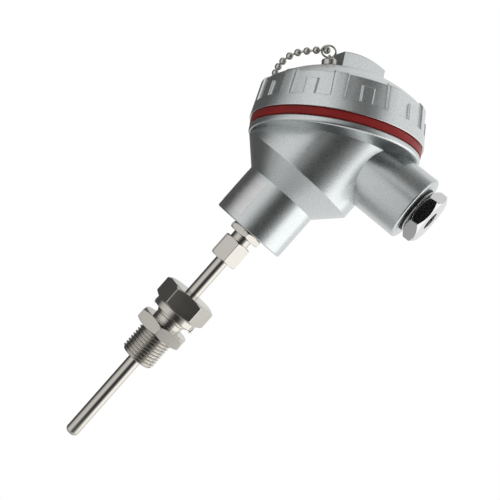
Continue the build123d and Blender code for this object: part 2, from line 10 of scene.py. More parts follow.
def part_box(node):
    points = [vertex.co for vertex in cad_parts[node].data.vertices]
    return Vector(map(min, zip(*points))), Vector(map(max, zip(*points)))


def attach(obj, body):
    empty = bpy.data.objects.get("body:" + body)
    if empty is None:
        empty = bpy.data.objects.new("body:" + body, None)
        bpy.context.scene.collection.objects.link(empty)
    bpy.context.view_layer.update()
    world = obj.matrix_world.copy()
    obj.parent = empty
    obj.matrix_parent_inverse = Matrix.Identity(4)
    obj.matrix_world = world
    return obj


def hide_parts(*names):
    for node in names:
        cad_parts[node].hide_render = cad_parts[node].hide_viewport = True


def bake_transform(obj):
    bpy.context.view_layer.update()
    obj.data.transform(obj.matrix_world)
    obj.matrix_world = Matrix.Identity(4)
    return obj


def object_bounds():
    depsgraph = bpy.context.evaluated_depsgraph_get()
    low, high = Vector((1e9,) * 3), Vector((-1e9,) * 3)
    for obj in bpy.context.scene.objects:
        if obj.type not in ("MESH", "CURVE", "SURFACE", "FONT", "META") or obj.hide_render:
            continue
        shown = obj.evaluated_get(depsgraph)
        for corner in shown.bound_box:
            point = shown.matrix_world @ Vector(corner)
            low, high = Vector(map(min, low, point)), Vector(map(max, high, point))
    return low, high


bl_info = {
    "name": "Resistance Thermometer Finish",
    "version": (1, 0, 0),
    "blender": (4, 5, 0),
    "location": "View3D > Sidebar > Thermometer",
    "description": "Finishes, process thread, chain, label and studio for a thermometer",
    "category": "Object",
}

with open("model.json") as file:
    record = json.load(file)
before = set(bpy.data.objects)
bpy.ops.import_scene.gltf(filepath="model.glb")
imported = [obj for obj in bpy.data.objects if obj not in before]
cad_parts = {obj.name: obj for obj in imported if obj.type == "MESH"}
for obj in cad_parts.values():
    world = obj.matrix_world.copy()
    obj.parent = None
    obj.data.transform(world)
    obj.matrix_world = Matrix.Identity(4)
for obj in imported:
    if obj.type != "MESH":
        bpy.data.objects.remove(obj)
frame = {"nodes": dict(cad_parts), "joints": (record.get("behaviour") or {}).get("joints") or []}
cad_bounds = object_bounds()
MM = 0.001


def joint_axis(name):
    """The direction of one of the frame's joints."""
    return Vector(next(joint["axis"] for joint in frame["joints"] if joint["name"] == name))


# Corners closer than this are one corner, and faces that differ by less than this are one plane
WELD_REACH = 0.002 * MM
FLAT_ANGLE = math.radians(0.3)
# Edges sharper than this are kept or rounded, and the others are shaded smooth
SHARP_ANGLE = math.radians(28.0)
HEAD_SHARP_ANGLE = math.radians(30.0)
LID_SHARP_ANGLE = math.radians(40.0)
BEVEL_SEGMENTS = 2

# How much lighter the lid's lacquer is painted than the head's, though both are one lacquer:
# painted light that brightens the lid as if more light fell on it
LID_PAINTED_LIGHT = 1.07
LID_AXIS = joint_axis("lid_lift").normalized()
# The wrench bar lies within this distance of the lid's axis
LID_BAR_REACH = 22 * MM
# The crease between the head's cone and drum: its height, how far off it an edge may lie, and
# the least distance of its edges from the stem's axis
SHOULDER_HEIGHT = 89.8 * MM
SHOULDER_BAND = 0.05 * MM
SHOULDER_REACH = 26 * MM

GLAND_ROUNDING = 0.12 * MM
SEAL_ROUNDING = 0.1 * MM

LABEL_RADIUS = 17.06 * MM
LABEL_HEIGHTS = (61.6 * MM, 77.6 * MM)
LABEL_ANGLES = (math.radians(-195.0), math.radians(-95.0))
LABEL_THICKNESS = 0.12 * MM
LABEL_COLUMNS = 48

# The ball chain's line from the lid's ring round the lid's -X side to the ring at the back
CHAIN_ROUTE = (
    (-0.0222, -0.0135, 0.1369), (-0.0257, -0.0134, 0.1343), (-0.0333, -0.0103, 0.1286),
    (-0.0375, -0.0055, 0.1227), (-0.0394, 0.0020, 0.1177), (-0.0381, 0.0110, 0.1076),
    (-0.0327, 0.0170, 0.0991), (-0.0247, 0.0230, 0.0922), (-0.0140, 0.0314, 0.0938),
    (-0.0097, 0.0326, 0.0938),
)


# Settings

class HeadSettings(bpy.types.PropertyGroup):
    casting_colour: bpy.props.FloatVectorProperty(
        name="Casting colour", description="Colour of the lacquered casting",
        subtype="COLOR", size=4, min=0.0, max=1.0, default=(0.602, 0.628, 0.628, 1.0))
    casting_roughness: bpy.props.FloatProperty(
        name="Casting roughness", description="How satin the lacquer is",
        subtype="FACTOR", min=0.0, max=1.0, default=0.30)
    sparkle_size: bpy.props.FloatProperty(
        name="Sparkle size", description="Size of the metal flakes in the lacquer",
        subtype="DISTANCE", unit="LENGTH", min=0.00005, max=0.002, default=0.0005)
    gasket_colour: bpy.props.FloatVectorProperty(
        name="Gasket colour", description="Colour of the silicone gasket",
        subtype="COLOR", size=4, min=0.0, max=1.0, default=(0.41, 0.026, 0.023, 1.0))
    edge_rounding: bpy.props.FloatProperty(
        name="Edge rounding", description="Rounding of the lid's wall and the head's crease",
        subtype="DISTANCE", unit="LENGTH", min=0.0, max=0.002, default=0.000288)


class StemSettings(bpy.types.PropertyGroup):
    steel_colour: bpy.props.FloatVectorProperty(
        name="Steel colour", description="Colour of the polished stainless steel",
        subtype="COLOR", size=4, min=0.0, max=1.0, default=(0.53, 0.51, 0.47, 1.0))
    edge_rounding: bpy.props.FloatProperty(
        name="Edge rounding", description="Rounding of the edges of the nuts and the turned parts",
        subtype="DISTANCE", unit="LENGTH", min=0.0, max=0.002, default=0.00015)
    thread_pitch: bpy.props.FloatProperty(
        name="Thread pitch", description="Pitch of the process thread",
        subtype="DISTANCE", unit="LENGTH", min=0.0005, max=0.004, default=0.0015)
    thread_depth: bpy.props.FloatProperty(
        name="Thread depth", description="Depth of the process thread",
        subtype="DISTANCE", unit="LENGTH", min=0.0001, max=0.002, default=0.00092)
    thread_radius: bpy.props.FloatProperty(
        name="Thread radius", description="Outer radius of the process thread",
        subtype="DISTANCE", unit="LENGTH", min=0.002, max=0.03, default=0.008)


class ChainSettings(bpy.types.PropertyGroup):
    bead_diameter: bpy.props.FloatProperty(
        name="Bead diameter", description="Diameter of the chain's balls",
        subtype="DISTANCE", unit="LENGTH", min=0.001, max=0.006, default=0.0032)
    bead_spacing: bpy.props.FloatProperty(
        name="Bead spacing", description="Distance from ball to ball",
        subtype="DISTANCE", unit="LENGTH", min=0.0015, max=0.01, default=0.0044)
    pin_diameter: bpy.props.FloatProperty(
        name="Pin diameter", description="Diameter of the pins between the balls",
        subtype="DISTANCE", unit="LENGTH", min=0.0002, max=0.002, default=0.0009)


class StudioSettings(bpy.types.PropertyGroup):
    background_level: bpy.props.FloatProperty(
        name="Background", description="Brightness of the background",
        min=0.0, max=1.0, default=1.0)
    ambient_level: bpy.props.FloatProperty(
        name="Ambient", description="Light from all sides on matt surfaces",
        min=0.0, max=2.0, default=0.38)
    focal_length: bpy.props.FloatProperty(
        name="Focal length", description="Focal length of the camera in millimetres",
        min=20.0, max=200.0, default=58.15)


def settings(name):
    return getattr(bpy.context.scene, name)


# Meshes

def new_object(name, data):
    item = bpy.data.objects.new(name, data)
    bpy.context.scene.collection.objects.link(item)
    return item


def mesh_of(work, name):
    """Turns a working mesh into a mesh of this name."""
    mesh = bpy.data.meshes.new(name)
    work.to_mesh(mesh)
    work.free()
    return mesh


def working_copy(node):
    """A working copy of a node's mesh, with its doubles merged."""
    work = bmesh.new()
    work.from_mesh(frame["nodes"][node].data)
    bmesh.ops.remove_doubles(work, verts=work.verts, dist=WELD_REACH)
    return work


def settle(piece):
    """Turns a piece with modifiers into a plain mesh."""
    bpy.context.view_layer.update()
    graph = bpy.context.evaluated_depsgraph_get()
    mesh = bpy.data.meshes.new_from_object(piece.evaluated_get(graph))
    piece.modifiers.clear()
    piece.data = mesh
    return piece


def smooth_by_angle(mesh, limit):
    """Smooth shading with the edges above an angle kept sharp."""
    work = bmesh.new()
    work.from_mesh(mesh)
    for face in work.faces:
        face.smooth = True
    for edge in work.edges:
        edge.smooth = not (edge.is_manifold and edge.calc_face_angle(0.0) > limit)
    work.to_mesh(mesh)
    work.free()


def weigh_normals(piece, keep_sharp):
    """Shades broad faces evenly and lets the narrow rounded edges between them take the turn."""
    normals = piece.modifiers.new("Weighted Normal", "WEIGHTED_NORMAL")
    normals.keep_sharp = keep_sharp


def soften(piece, width, clamp=True):
    """Shades a piece smooth, with its edges rounded, or crisp where the width is nought."""
    for polygon in piece.data.polygons:
        polygon.use_smooth = True
    weld = piece.modifiers.new("Weld", "WELD")
    weld.merge_threshold = WELD_REACH
    if width:
        bevel = piece.modifiers.new("Bevel", "BEVEL")
        bevel.width = width
        bevel.segments = BEVEL_SEGMENTS
        bevel.limit_method = "ANGLE"
        bevel.angle_limit = SHARP_ANGLE
        bevel.use_clamp_overlap = clamp
        weigh_normals(piece, keep_sharp=False)
    else:
        split = piece.modifiers.new("Edge Split", "EDGE_SPLIT")
        split.split_angle = SHARP_ANGLE
        split.use_edge_sharp = False
    return piece


def coat(piece, material):
    piece.data.materials.clear()
    piece.data.materials.append(material)


def finish_node(name, material, width=0.0, clamp=True):
    """Gives a node its material and its edges."""
    node = frame["nodes"][name]
    coat(node, material)
    soften(node, width, clamp)


def rounded_copy(node, name, limit, width, chosen):
    """A copy of a node, with the chosen ones of its sharp edges rounded and the others crisp."""
    work = working_copy(node)
    bmesh.ops.dissolve_limit(work, angle_limit=FLAT_ANGLE, verts=work.verts, edges=work.edges)
    middle = sum((vertex.co for vertex in work.verts), Vector()) / len(work.verts)
    rounded = []
    for edge in work.edges:
        if not edge.is_manifold or edge.calc_face_angle(0.0) < limit:
            continue
        if chosen((edge.verts[0].co + edge.verts[1].co) / 2, middle):
            rounded.append(edge)
        else:
            edge.smooth = False
    if not rounded:
        raise RuntimeError("no edge to round on " + node)
    bmesh.ops.bevel(
        work, geom=rounded, offset=width, segments=BEVEL_SEGMENTS, profile=0.5, affect="EDGES",
        clamp_overlap=False)
    for face in work.faces:
        face.smooth = True
    piece = new_object(name, mesh_of(work, name))
    weigh_normals(piece, keep_sharp=True)
    return settle(piece)


def on_castellated_wall(place, middle):
    """Whether a place on the lid lies well away from its axis and the wrench bar."""
    offset = place - middle
    return (offset - offset.dot(LID_AXIS) * LID_AXIS).length > LID_BAR_REACH


def on_shoulder(place, middle):
    """Whether a place on the head lies on the crease between its cone and its drum."""
    reach = math.hypot(place.x, place.y)
    return abs(place.z - SHOULDER_HEIGHT) < SHOULDER_BAND and reach > SHOULDER_REACH


# Node trees

def shade(colour, share):
    """A colour made darker, or lighter where the share is above one."""
    return (colour[0] * share, colour[1] * share, colour[2] * share, 1.0)


def grey(level):
    return shade((1.0, 1.0, 1.0), level)


def emptied_tree(owner):
    """The empty node tree of a material or a world."""
    owner.use_nodes = True
    owner.node_tree.nodes.clear()
    return owner.node_tree


class Nodes:
    """A small helper that adds nodes to one tree."""

    def __init__(self, tree):
        self.tree = tree

    def add(self, kind, values=None, **options):
        node = self.tree.nodes.new(kind)
        for key, value in options.items():
            setattr(node, key, value)
        for key, value in (values or {}).items():
            self.put(value, node.inputs[key])
        return node

    def put(self, value, socket):
        """Links a socket to another one, or gives it a plain value."""
        if isinstance(value, bpy.types.NodeSocket):
            self.tree.links.new(value, socket)
        else:
            socket.default_value = value

    def math(self, operation, *values):
        node = self.add("ShaderNodeMath", operation=operation)
        for value, socket in zip(values, node.inputs):
            self.put(value, socket)
        return node.outputs[0]

    def blend(self, factor, first, second):
        node = self.add(
            "ShaderNodeMix", {"Factor": factor, "A": first, "B": second}, data_type="RGBA")
        return node.outputs["Result"]


# Most of a noise's values lie between these
NOISE_LOW = 0.3
NOISE_HIGH = 0.7


class Shader(Nodes):
    """One material on its piece's own coordinates."""

    def __init__(self, name):
        self.material = bpy.data.materials.new(name)
        super().__init__(emptied_tree(self.material))
        self.main = self.add("ShaderNodeBsdfPrincipled")
        self.add("ShaderNodeOutputMaterial", {"Surface": self.main.outputs["BSDF"]})
        self.place = self.add("ShaderNodeTexCoord").outputs["Object"]

    def noise(self, scale, detail, roughness, stretch=(1.0, 1.0, 1.0)):
        place = self.add("ShaderNodeMapping", {"Vector": self.place, "Scale": stretch})
        node = self.add("ShaderNodeTexNoise", {
            "Vector": place.outputs["Vector"], "Scale": scale, "Detail": detail,
            "Roughness": roughness})
        return node.outputs["Fac"]

    def spread(self, value, new_low, new_high, low=NOISE_LOW, high=NOISE_HIGH):
        """Maps a noise's usual span to a new one."""
        node = self.add("ShaderNodeMapRange", {
            "Value": value, "From Min": low, "From Max": high,
            "To Min": new_low, "To Max": new_high})
        return node.outputs["Result"]

    def mottle(self, marks, colour, dark, light):
        """A colour that follows marks from a darker to a lighter shade of itself."""
        return self.blend(self.spread(marks, 0.0, 1.0), shade(colour, dark), shade(colour, light))

    def bump(self, height, strength, distance):
        node = self.add("ShaderNodeBump", {
            "Height": height, "Strength": strength, "Distance": distance})
        self.put(node.outputs["Normal"], self.main.inputs["Normal"])

    def finish(self, base, metallic, roughness):
        self.put(base, self.main.inputs["Base Color"])
        self.put(metallic, self.main.inputs["Metallic"])
        self.put(roughness, self.main.inputs["Roughness"])
        return self.material


# Materials

def cast_lacquer(name, lightness):
    """Silver lacquer with fine metal flakes on a cast surface."""
    head = settings("head_finish")
    colour = shade(head.casting_colour, lightness)
    satin = head.casting_roughness
    shader = Shader(name)
    flakes = shader.noise(scale=1.0 / head.sparkle_size, detail=1.0, roughness=0.6)
    clouds = shader.noise(scale=45.0, detail=3.0, roughness=0.55)
    share = shader.spread(flakes, 0.0, 1.0, low=0.35, high=0.65)
    grain = shader.blend(share, shade(colour, 0.89), shade(colour, 1.10))
    base = shader.blend(shader.spread(clouds, 0.0, 0.25), grain, shade(colour, 0.93))
    shader.bump(flakes, strength=0.10, distance=0.03 * MM)
    return shader.finish(base, 0.95, shader.spread(flakes, satin - 0.03, satin + 0.03))


def silicone():
    """Red silicone, a little dusty."""
    shader = Shader("red_silicone")
    clouds = shader.noise(scale=180.0, detail=3.0, roughness=0.6)
    base = shader.mottle(clouds, settings("head_finish").gasket_colour, 0.85, 1.12)
    pores = shader.noise(scale=1500.0, detail=2.0, roughness=0.5)
    shader.bump(pores, strength=0.08, distance=0.05 * MM)
    shader.main.inputs["Specular IOR Level"].default_value = 0.25
    return shader.finish(base, 0.0, 0.42)


def polished(name, colour, roughness, line_scale, strength, axis=(0.0, 0.0, 1.0)):
    """Turned and polished metal: fine lines round an axis."""
    shader = Shader(name)
    lines = shader.noise(scale=line_scale, detail=1.0, roughness=0.5, stretch=axis)
    clouds = shader.noise(scale=120.0, detail=2.0, roughness=0.5)
    shader.bump(lines, strength, distance=0.03 * MM)
    return shader.finish(
        shader.mottle(lines, colour, 0.94, 1.04), 1.0,
        shader.spread(clouds, roughness * 0.85, roughness * 1.2))


def plain_metal(name, colour, roughness, grain=900.0, strength=0.05):
    """Drawn or plated metal with a fine grain."""
    shader = Shader(name)
    grains = shader.noise(scale=grain, detail=3.0, roughness=0.6)
    shader.bump(grains, strength, distance=0.04 * MM)
    return shader.finish(
        shader.mottle(grains, colour, 0.90, 1.06), 1.0,
        shader.spread(grains, roughness * 0.8, roughness * 1.25))


def moulded(name, colour, roughness, grain=700.0):
    """A matt or glazed non-metal with slight mottling."""
    shader = Shader(name)
    grains = shader.noise(scale=grain, detail=3.0, roughness=0.6)
    shader.bump(grains, strength=0.06, distance=0.05 * MM)
    return shader.finish(shader.mottle(grains, colour, 0.93, 1.03), 0.0, roughness)


# Geometry

class GeometryTree(Nodes):
    """One geometry node tree with named inputs for its sizes."""

    def __init__(self, name):
        super().__init__(bpy.data.node_groups.new(name, "GeometryNodeTree"))
        for way in ("INPUT", "OUTPUT"):
            self.tree.interface.new_socket(
                "Geometry", in_out=way, socket_type="NodeSocketGeometry")
        self.entry = self.add("NodeGroupInput")
        self.names = {}

    def number(self, name, default, whole=False):
        kind = "NodeSocketInt" if whole else "NodeSocketFloat"
        socket = self.tree.interface.new_socket(name, in_out="INPUT", socket_type=kind)
        socket.default_value = default
        self.names[name] = socket.identifier
        return self.entry.outputs[name]

    def close(self, geometry, material):
        """Ends the tree in real geometry with its material set."""
        real = self.add("GeometryNodeRealizeInstances", {"Geometry": geometry})
        coated = self.add("GeometryNodeSetMaterial", {
            "Geometry": real.outputs["Geometry"], "Material": material})
        self.add("NodeGroupOutput", {"Geometry": coated.outputs["Geometry"]})
        return self

    def grow(self, piece, values):
        """Runs the tree on a piece with these input values and leaves a plain mesh."""
        modifier = piece.modifiers.new(self.tree.name, "NODES")
        modifier.node_group = self.tree
        for name, value in values.items():
            modifier[self.names[name]] = value
        return settle(piece)


# Where the thread leaves its flat crest and where it reaches its root, in halves of a pitch
THREAD_CREST = 0.12
THREAD_ROOT = 0.78
THREAD_SEAM = 0.001 * MM
# The plain cylinder's faces lie below this height and less than so many depths inside the crest
THREAD_TOP = -0.02 * MM
THREAD_CORE_DEPTHS = 1.6


def thread_tree(material):
    """A screw thread: a tube whose radius follows a helix, with its last turn chamfered."""
    tree = GeometryTree("process_thread")
    radius = tree.number("Radius", 0.008)
    depth = tree.number("Depth", 0.0009)
    pitch = tree.number("Pitch", 0.0015)
    length = tree.number("Length", 0.0138)
    chamfer = tree.number("Chamfer", 0.0009)
    around = tree.number("Segments", 144, whole=True)
    along = tree.number("Rows", 230, whole=True)
    grid = tree.add("GeometryNodeMeshGrid", {
        "Size X": 1.0, "Size Y": 1.0, "Vertices X": around, "Vertices Y": along})
    position = tree.add("GeometryNodeInputPosition").outputs[0]
    place = tree.add("ShaderNodeSeparateXYZ", {0: position})
    turn = tree.math("ADD", place.outputs["X"], 0.5)
    down = tree.math("MULTIPLY", tree.math("ADD", place.outputs["Y"], 0.5), length)
    phase = tree.math("FRACT", tree.math("SUBTRACT", tree.math("DIVIDE", down, pitch), turn))
    wave = tree.math("MULTIPLY", tree.math("PINGPONG", phase, 0.5), 2.0)
    flank = tree.add("ShaderNodeMapRange", {
        "Value": wave, "From Min": THREAD_CREST, "From Max": THREAD_ROOT})
    cut = tree.math("SUBTRACT", radius, tree.math("MULTIPLY", flank.outputs["Result"], depth))
    to_end = tree.math("SUBTRACT", length, down)
    slope = tree.math("SUBTRACT", tree.math("ADD", radius, to_end), chamfer)
    spoke = tree.math("MINIMUM", cut, slope)
    angle = tree.math("MULTIPLY", turn, -math.tau)
    where = tree.add("ShaderNodeCombineXYZ", {
        "X": tree.math("MULTIPLY", spoke, tree.math("COSINE", angle)),
        "Y": tree.math("MULTIPLY", spoke, tree.math("SINE", angle)),
        "Z": tree.math("MULTIPLY", down, -1.0)})
    moved = tree.add("GeometryNodeSetPosition", {
        "Geometry": grid.outputs["Mesh"], "Position": where.outputs["Vector"]})
    closed = tree.add("GeometryNodeMergeByDistance", {
        "Geometry": moved.outputs["Geometry"], "Distance": THREAD_SEAM})
    smooth = tree.add("GeometryNodeSetShadeSmooth", {"Geometry": closed.outputs["Geometry"]})
    return tree.close(smooth.outputs["Geometry"], material)


# How finely the chain's line, its balls and its pins are divided
LINE_STEPS = 24
BALL_SEGMENTS = 24
BALL_RINGS = 14
PIN_SIDES = 10
PIN_STEPS = 160


def chain_tree(material):
    """Balls and the pins between them, strung on a smooth line through a strand's points."""
    tree = GeometryTree("ball_chain")
    bead = tree.number("Bead Radius", 0.0016)
    pin = tree.number("Pin Radius", 0.00045)
    spacing = tree.number("Spacing", 0.0044)
    strand = tree.add("GeometryNodeMeshToCurve", {"Mesh": tree.entry.outputs["Geometry"]})
    bent = tree.add(
        "GeometryNodeCurveSplineType", {"Curve": strand.outputs["Curve"]},
        spline_type="CATMULL_ROM")
    fine = tree.add("GeometryNodeSetSplineResolution", {
        "Geometry": bent.outputs["Curve"], "Resolution": LINE_STEPS})
    line = fine.outputs["Geometry"]
    length = tree.add("GeometryNodeCurveLength", {"Curve": line}).outputs["Length"]
    gaps = tree.math("ROUND", tree.math("DIVIDE", length, spacing))
    places = tree.add("GeometryNodeCurveToPoints", {
        "Curve": line, "Count": tree.math("ADD", gaps, 1.0)})
    ball = tree.add("GeometryNodeMeshUVSphere", {
        "Segments": BALL_SEGMENTS, "Rings": BALL_RINGS, "Radius": bead})
    balls = tree.add("GeometryNodeInstanceOnPoints", {
        "Points": places.outputs["Points"], "Instance": ball.outputs["Mesh"],
        "Rotation": places.outputs["Rotation"]})
    outline = tree.add("GeometryNodeCurvePrimitiveCircle", {
        "Resolution": PIN_SIDES, "Radius": pin})
    even = tree.add("GeometryNodeResampleCurve", {"Curve": line, "Count": PIN_STEPS})
    pins = tree.add("GeometryNodeCurveToMesh", {
        "Curve": even.outputs["Curve"], "Profile Curve": outline.outputs["Curve"],
        "Fill Caps": True})
    both = tree.add("GeometryNodeJoinGeometry")
    tree.put(balls.outputs["Instances"], both.inputs["Geometry"])
    tree.put(pins.outputs["Mesh"], both.inputs["Geometry"])
    real = tree.add("GeometryNodeRealizeInstances", {"Geometry": both.outputs["Geometry"]})
    smooth = tree.add("GeometryNodeSetShadeSmooth", {"Geometry": real.outputs["Geometry"]})
    return tree.close(smooth.outputs["Geometry"], material)


# Operators

class SENSOR_OT_casting(bpy.types.Operator):
    """Coats the cast head and its lid with silver lacquer and the gasket with silicone"""
    bl_idname = "sensor.casting"
    bl_label = "Casting and Gasket"

    def execute(self, context):
        head = settings("head_finish")
        lacquer = cast_lacquer("cast_silver_lacquer", 1.0)
        # The lid's lacquer is the head's lacquer painted lighter: painted light, not a different
        # paint
        lid_painted_light_lacquer = cast_lacquer("lid_silver_lacquer", LID_PAINTED_LIGHT)
        for node, body, material, limit, chosen in (
            ("head_body", "instrument", lacquer, HEAD_SHARP_ANGLE, on_shoulder),
            ("lid", "lid", lid_painted_light_lacquer, LID_SHARP_ANGLE, on_castellated_wall),
        ):
            coat(frame["nodes"][node], material)
            piece = rounded_copy(node, "cast_" + node, limit, head.edge_rounding, chosen)
            coat(piece, material)
            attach(piece, body)
            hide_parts(node)
        finish_node("lid_gasket", silicone())
        return {"FINISHED"}


class SENSOR_OT_stem(bpy.types.Operator):
    """Polishes the probe, its nut and its bushing"""
    bl_idname = "sensor.stem"
    bl_label = "Stem"

    def execute(self, context):
        stem = settings("stem_finish")
        colour = stem.steel_colour
        tube = polished("polished_tube", colour, 0.10, line_scale=9000.0, strength=0.03)
        turned = polished("turned_steel", colour, 0.16, line_scale=5000.0, strength=0.05)
        finish_node("probe_sheath", tube)
        for name in ("stem_bushing", "stem_nut", "stem_ferrule"):
            finish_node(name, turned, stem.edge_rounding, clamp=False)
        return {"FINISHED"}


def fitting_without_thread(stem):
    """The fitting's mesh without the plain cylinder that stands for its thread."""
    work = working_copy("compression_body")
    core = stem.thread_radius - THREAD_CORE_DEPTHS * stem.thread_depth
    gone = []
    for face in work.faces:
        middle = face.calc_center_median()
        if middle.z < THREAD_TOP and math.hypot(middle.x, middle.y) > core:
            gone.append(face)
    if not gone:
        raise RuntimeError("the fitting has no plain thread to cut")
    bmesh.ops.delete(work, geom=gone, context="FACES")
    return mesh_of(work, "process_fitting")


class SENSOR_OT_fitting(bpy.types.Operator):
    """Cuts the real process thread and polishes the compression fitting"""
    bl_idname = "sensor.fitting"
    bl_label = "Compression Fitting"

    def execute(self, context):
        stem = settings("stem_finish")
        colour = stem.steel_colour
        turned = polished("fitting_steel", colour, 0.18, line_scale=4500.0, strength=0.05)
        for name in ("compression_nut", "compression_ferrule"):
            finish_node(name, turned, stem.edge_rounding, clamp=False)
        body = new_object("process_fitting", fitting_without_thread(stem))
        coat(body, turned)
        settle(soften(body, stem.edge_rounding, clamp=False))
        thread = new_object("process_thread", bpy.data.meshes.new("process_thread"))
        thread_tree(turned).grow(thread, {
            "Radius": stem.thread_radius, "Depth": stem.thread_depth, "Pitch": stem.thread_pitch,
            "Length": -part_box("compression_body")[0].z, "Chamfer": stem.thread_depth})
        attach(body, "fitting")
        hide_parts("compression_body")
        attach(thread, "fitting")
        return {"FINISHED"}


class SENSOR_OT_chain(bpy.types.Operator):
    """Strings the ball chain between its two rings and plates them"""
    bl_idname = "sensor.chain"
    bl_label = "Ball Chain"

    def execute(self, context):
        chain = settings("chain_finish")
        nickel = plain_metal("nickel_plate", shade((1.0, 0.97, 0.90), 0.50), 0.16, grain=600.0)
        for name in ("lid_chain_screw", "body_chain_screw", "lid_chain_ring", "body_chain_ring"):
            finish_node(name, nickel)
        mesh = bpy.data.meshes.new("ball_chain")
        mesh.from_pydata(CHAIN_ROUTE, [(i, i + 1) for i in range(len(CHAIN_ROUTE) - 1)], [])
        strand = new_object("ball_chain", mesh)
        chain_tree(nickel).grow(strand, {
            "Bead Radius": chain.bead_diameter / 2, "Pin Radius": chain.pin_diameter / 2,
            "Spacing": chain.bead_spacing})
        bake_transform(strand)
        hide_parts("bead_chain")
        return {"FINISHED"}


class SENSOR_OT_gland(bpy.types.Operator):
    """Plates the cable gland and blackens its seals"""
    bl_idname = "sensor.gland"
    bl_label = "Cable Gland"

    def execute(self, context):
        chrome = polished(
            "bright_plate", grey(0.56), 0.07, line_scale=6000.0, strength=0.02,
            axis=(1.0, 0.0, 0.0))
        rubber = moulded("black_rubber", grey(0.02), 0.55)
        for name in ("gland_nut", "gland_body"):
            finish_node(name, chrome, GLAND_ROUNDING)
        for name in ("gland_seal", "gland_washer"):
            finish_node(name, rubber, SEAL_ROUNDING)
        return {"FINISHED"}


class SENSOR_OT_terminals(bpy.types.Operator):
    """Finishes the terminal block, its clamps and screws and the leads"""
    bl_idname = "sensor.terminals"
    bl_label = "Terminals and Leads"

    def execute(self, context):
        ivory = shade((1.0, 0.97, 0.91), 0.82)
        zinc = plain_metal("screw_zinc", grey(0.62), 0.25)
        finishes = {
            "terminal_block": moulded("glazed_ceramic", ivory, 0.22, grain=250.0),
            "terminal_clamps": plain_metal("clamp_brass", (0.70, 0.50, 0.20, 1.0), 0.28),
            "terminal_screws": zinc,
            "block_screws": zinc,
            "lead_wires_red": moulded("red_insulation", (0.48, 0.02, 0.02, 1.0), 0.38),
            "lead_wire_white": moulded("white_insulation", grey(0.85), 0.38),
            "wire_sleeves": plain_metal("tinned_sleeve", grey(0.66), 0.3),
            "lead_seal": moulded("casting_resin", grey(0.03), 0.3),
            "sheath_filling": moulded("mineral_powder", grey(0.72), 0.8),
            "sensing_element": moulded("element_ceramic", grey(0.8), 0.4),
            "inner_conductors": plain_metal("bare_copper", (0.70, 0.32, 0.16, 1.0), 0.3),
        }
        for name, material in finishes.items():
            finish_node(name, material)
        return {"FINISHED"}


def label_mesh():
    """A band round part of the neck, one face high."""
    work = bmesh.new()
    first, last = LABEL_ANGLES
    columns = []
    for index in range(LABEL_COLUMNS + 1):
        angle = first + (last - first) * index / LABEL_COLUMNS
        x, y = LABEL_RADIUS * math.cos(angle), LABEL_RADIUS * math.sin(angle)
        columns.append([work.verts.new((x, y, z)) for z in LABEL_HEIGHTS])
    for left, right in zip(columns, columns[1:]):
        work.faces.new((left[0], right[0], right[1], left[1]))
    return mesh_of(work, "blank_label")


class SENSOR_OT_label(bpy.types.Operator):
    """Lays a blank foil label round the neck"""
    bl_idname = "sensor.label"
    bl_label = "Blank Label"

    def execute(self, context):
        label = new_object("blank_label", label_mesh())
        coat(label, plain_metal("label_foil", grey(0.66), 0.3, grain=300.0, strength=0.02))
        foil = label.modifiers.new("Foil", "SOLIDIFY")
        foil.thickness = LABEL_THICKNESS
        foil.offset = -1.0
        settle(label)
        smooth_by_angle(label.data, SHARP_ANGLE)
        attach(label, "instrument")
        return {"FINISHED"}


# Studio

STAGE_MIDDLE = (cad_bounds[0] + cad_bounds[1]) / 2

CAMERA_PLACE = Vector((0.1068, -0.3286, 0.0609))
CAMERA_TARGET = Vector((0.00574, 0.00177, 0.05296))
CAMERA_ROLL = math.radians(41.47)
CAMERA_FILM = 36.0
CAMERA_NEAR = 0.01
CAMERA_FAR = 20.0

# Soft boxes: azimuth, elevation, distance, width, height, level, whether reflections see it
SOFT_BOXES = {
    "right_box": (108, 4, 0.6, 0.68, 0.8, 0.72, True),
    "left_box": (-40, 15, 0.6, 0.4, 0.5, 0.25, False),
    "top_box": (40, 55, 0.6, 0.4, 0.4, 0.5, False),
}

FLOOR_DROP = 0.30
FLOOR_SIZE = 8.0
FLOOR_GREY = 0.85
FLOOR_GLOW = 1.08
# How much of what a camera or a reflection sees of the floor is its glow
FLOOR_GLOW_SHARE = 0.9

DISC_RADIUS = 0.03
# Azimuth, elevation, distance
DISC_PLACE = (1, 21.5, 0.26)

GAUZE_RADIUS = 0.29
# How much of the white room the gauze lets through: azimuth from the front in degrees, share
GAUZE_BELT = (
    (-180, 1.0), (-162, 0.90), (-148, 0.42), (-136, 0.12), (-84, 0.10), (-73, 0.36),
    (-62, 0.66), (-46, 0.90), (-30, 1.0), (-12, 1.0), (2, 0.66), (12, 0.26), (20, 0.07),
    (42, 0.06), (52, 0.12), (62, 0.38), (72, 0.72), (80, 1.0), (180, 1.0),
)
GAUZE_UPPER = (
    (-180, 0.95), (-150, 0.92), (-110, 0.75), (-70, 0.62), (-36, 0.48), (-16, 0.16),
    (32, 0.16), (50, 0.62), (64, 1.0), (180, 0.95),
)
GAUZE_LOWER = (
    (-180, 0.60), (-140, 0.35), (-110, 0.28), (-75, 0.65), (-45, 0.95), (-10, 0.75),
    (30, 0.40), (60, 0.75), (90, 1.0), (150, 0.95), (180, 0.60),
)
GAUZE_BOTTOM = 0.55
GAUZE_TOP = 0.34
# Heights on the unit sphere between which one band of the gauze goes over into the next
BOTTOM_TO_LOWER = (-0.99, -0.88)
LOWER_TO_BELT = (-0.86, -0.58)
BELT_TO_UPPER = (0.50, 0.82)
UPPER_TO_TOP = (0.97, 1.0)


